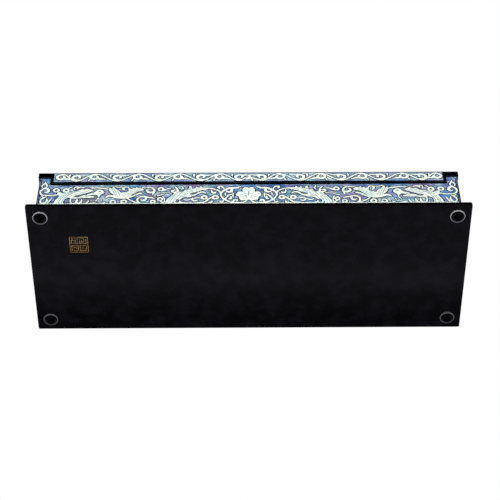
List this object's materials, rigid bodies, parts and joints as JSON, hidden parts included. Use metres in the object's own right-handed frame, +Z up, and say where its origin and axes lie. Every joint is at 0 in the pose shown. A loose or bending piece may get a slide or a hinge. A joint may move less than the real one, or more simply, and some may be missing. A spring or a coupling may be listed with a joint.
{
  "type": "pen holder",
  "caption": "Flat oblong pen box on a wide base plate with round feet, a thick hinged lid that drops between the side walls, felt inside and grooved pen rests.",
  "frame": {"origin": "on the ground in the middle of the base plate, level with the soles of the feet", "axes": "+Z up, +X along the length to the right, -Y towards the front edge of the lid that is lifted"},
  "size_m": [0.26, 0.096, 0.04],
  "materials": {
    "black_lacquer": "glossy black lacquer over wood",
    "shell_inlay": "polished mother-of-pearl set in lacquer",
    "felt": "short red pile",
    "foot_rubber": "smooth dark rubber",
    "hinge_brass": "satin brass"
  },
  "bodies": {
    "case": {"back_inlay": "shell_inlay", "back_lining": "felt", "back_wall": "black_lacquer", "base_plate": "black_lacquer", "floor_lining": "felt", "foot_back_left": "foot_rubber", "foot_back_right": "foot_rubber", "foot_front_left": "foot_rubber", "foot_front_right": "foot_rubber", "front_inlay": "shell_inlay", "front_lining": "felt", "front_wall": "black_lacquer", "hinge_left_case_leaf": "hinge_brass", "hinge_left_case_screw_1": "hinge_brass", "hinge_left_case_screw_2": "hinge_brass", "hinge_left_pin": "hinge_brass", "hinge_right_case_leaf": "hinge_brass", "hinge_right_case_screw_1": "hinge_brass", "hinge_right_case_screw_2": "hinge_brass", "hinge_right_pin": "hinge_brass", "left_inlay": "shell_inlay", "left_lining": "felt", "left_wall": "black_lacquer", "pen_rest_left": "black_lacquer", "pen_rest_right": "black_lacquer", "right_inlay": "shell_inlay", "right_lining": "felt", "right_wall": "black_lacquer"},
    "lid": {"hinge_left_lid_leaf": "hinge_brass", "hinge_left_lid_screw_1": "hinge_brass", "hinge_left_lid_screw_2": "hinge_brass", "hinge_right_lid_leaf": "hinge_brass", "hinge_right_lid_screw_1": "hinge_brass", "hinge_right_lid_screw_2": "hinge_brass", "lid_board": "black_lacquer", "lid_front_inlay": "shell_inlay", "lid_lining": "felt", "lid_top_inlay": "shell_inlay"}
  },
  "joints": [
    {"name": "lid_hinge", "type": "hinge", "parent": "case", "child": "lid", "pos_m": [0, 0.04465, 0.0305], "axis": [-1, 0, 0], "range_deg": [0, 100]}
  ]
}
